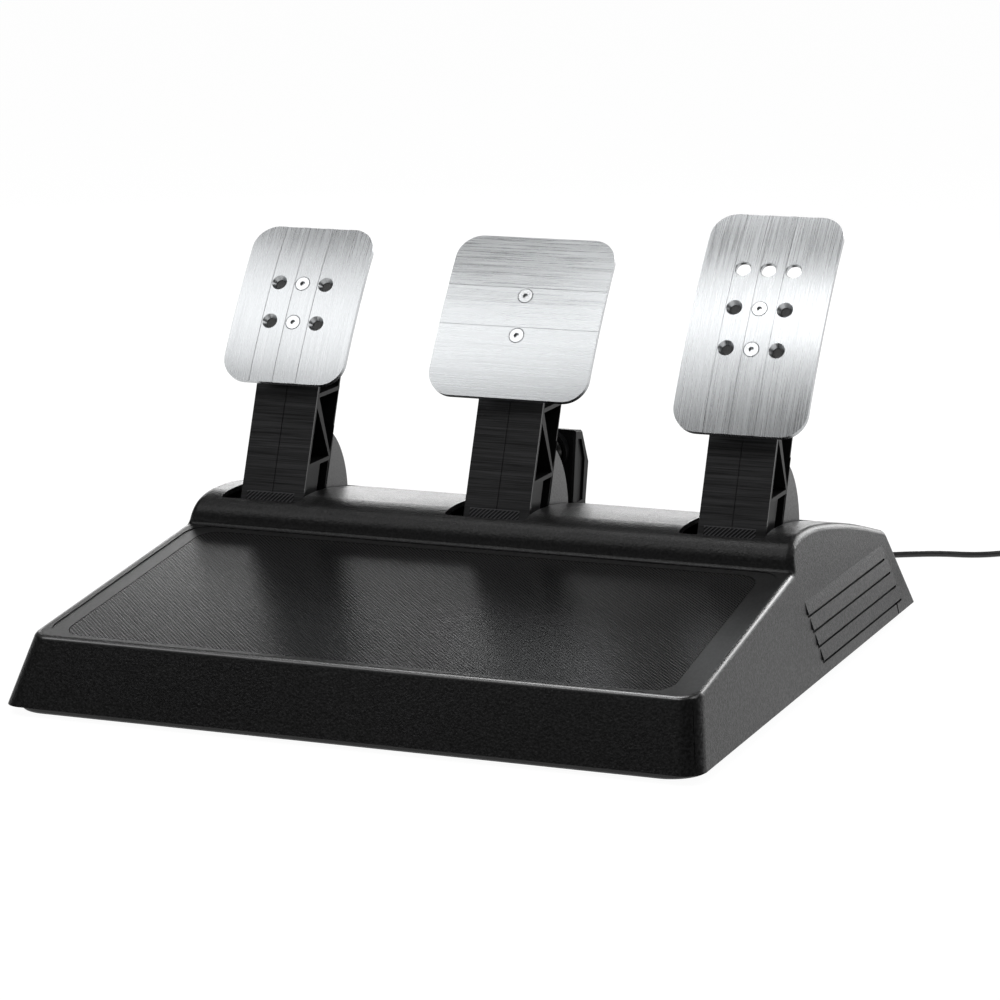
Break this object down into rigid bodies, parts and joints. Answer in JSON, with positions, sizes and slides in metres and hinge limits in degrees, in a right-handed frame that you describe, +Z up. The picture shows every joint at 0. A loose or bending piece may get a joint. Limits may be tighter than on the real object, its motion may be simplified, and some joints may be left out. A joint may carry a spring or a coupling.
{
  "type": "pedal set for a racing wheel",
  "caption": "Sloping floor base with a tread mat carrying clutch, brake and accelerator pedals with curved brushed aluminium heads on sprung pivoting arms.",
  "frame": {"origin": "on the floor, below the middle of the base", "axes": "+X to the driver's right, +Y away from the driver, +Z up"},
  "size_m": [0.4914, 0.5886, 0.2466],
  "materials": {
    "shell_plastic": "fine moulded grain",
    "tread_rubber": "fine diagonal weave",
    "cover_plastic": "moulded",
    "foot_rubber": "matt",
    "screw_black": "blackened",
    "plate_steel": "zinc plated",
    "insert_brass": "turned",
    "bracket_black": "black anodised",
    "stop_rubber": "satin",
    "circuit_board": "solder mask",
    "spacer_plastic": "moulded",
    "wire_black": "smooth",
    "relief_rubber": "matt",
    "cable_jacket": "satin",
    "tie_plastic": "woven",
    "plug_plastic": "moulded",
    "arm_black": "black powder coat",
    "face_black": "black anodised, brushed across",
    "skirt_plastic": "fine grain",
    "pad_plastic": "moulded",
    "plate_aluminium": "brushed",
    "screw_steel": "bright zinc",
    "bush_bronze": "sintered",
    "magnet_metal": "nickel plated",
    "axle_steel": "ground",
    "spring_steel": "oiled"
  },
  "bodies": {
    "base": {"base_housing": "shell_plastic", "tread_mat": "tread_rubber", "bottom_cover": "cover_plastic", "rubber_feet": "foot_rubber", "cover_screws": "screw_black", "base_plate_screws": "screw_black", "base_plate": "plate_steel", "mount_inserts": "insert_brass", "bracket_screws": "screw_black", "brake_stop_bracket": "bracket_black", "brake_stop_rubber": "stop_rubber", "main_board": "circuit_board", "board_spacers": "spacer_plastic", "sensor_harness": "wire_black", "strain_relief": "relief_rubber", "inner_lead": "cable_jacket", "cable": "cable_jacket", "cable_coil": "cable_jacket", "cable_tail": "cable_jacket", "coil_tie": "tie_plastic", "plug": "plug_plastic", "clutch_cradle": "plate_steel", "clutch_axle": "axle_steel", "clutch_axle_clips": "spring_steel", "clutch_return_spring": "spring_steel", "clutch_sensor_board": "circuit_board", "brake_cradle": "plate_steel", "brake_axle": "axle_steel", "brake_axle_clips": "spring_steel", "brake_return_spring": "spring_steel", "brake_sensor_board": "circuit_board", "accelerator_cradle": "plate_steel", "accelerator_axle": "axle_steel", "accelerator_axle_clips": "spring_steel", "accelerator_return_spring": "spring_steel", "accelerator_sensor_board": "circuit_board"},
    "clutch_pedal": {"clutch_arm": "arm_black", "clutch_arm_face": "face_black", "clutch_arm_skirt": "skirt_plastic", "clutch_head_pad": "pad_plastic", "clutch_head_plate": "plate_aluminium", "clutch_head_screws": "screw_steel", "clutch_bush": "bush_bronze", "clutch_magnet": "magnet_metal"},
    "brake_pedal": {"brake_arm": "arm_black", "brake_arm_face": "face_black", "brake_arm_skirt": "skirt_plastic", "brake_head_pad": "pad_plastic", "brake_head_plate": "plate_aluminium", "brake_head_screws": "screw_steel", "brake_bush": "bush_bronze", "brake_magnet": "magnet_metal"},
    "accelerator_pedal": {"accelerator_arm": "arm_black", "accelerator_arm_face": "face_black", "accelerator_arm_skirt": "skirt_plastic", "accelerator_head_pad": "pad_plastic", "accelerator_head_plate": "plate_aluminium", "accelerator_head_screws": "screw_steel", "accelerator_bush": "bush_bronze", "accelerator_magnet": "magnet_metal"}
  },
  "joints": [
    {"name": "clutch_pivot", "type": "hinge", "parent": "base", "child": "clutch_pedal", "pos_m": [-0.142, 0.028, 0.032], "axis": [-1, 0, 0], "range_deg": [0, 18], "stiffness_Nm_per_rad": 10, "springref_deg": -14.32, "deforming": ["clutch_return_spring"]},
    {"name": "brake_pivot", "type": "hinge", "parent": "base", "child": "brake_pedal", "pos_m": [0, 0.028, 0.032], "axis": [-1, 0, 0], "range_deg": [0, 12], "stiffness_Nm_per_rad": 30, "springref_deg": -8.59, "deforming": ["brake_return_spring"]},
    {"name": "accelerator_pivot", "type": "hinge", "parent": "base", "child": "accelerator_pedal", "pos_m": [0.142, 0.028, 0.032], "axis": [-1, 0, 0], "range_deg": [0, 18], "stiffness_Nm_per_rad": 8, "springref_deg": -14.32, "deforming": ["accelerator_return_spring"]}
  ]
}
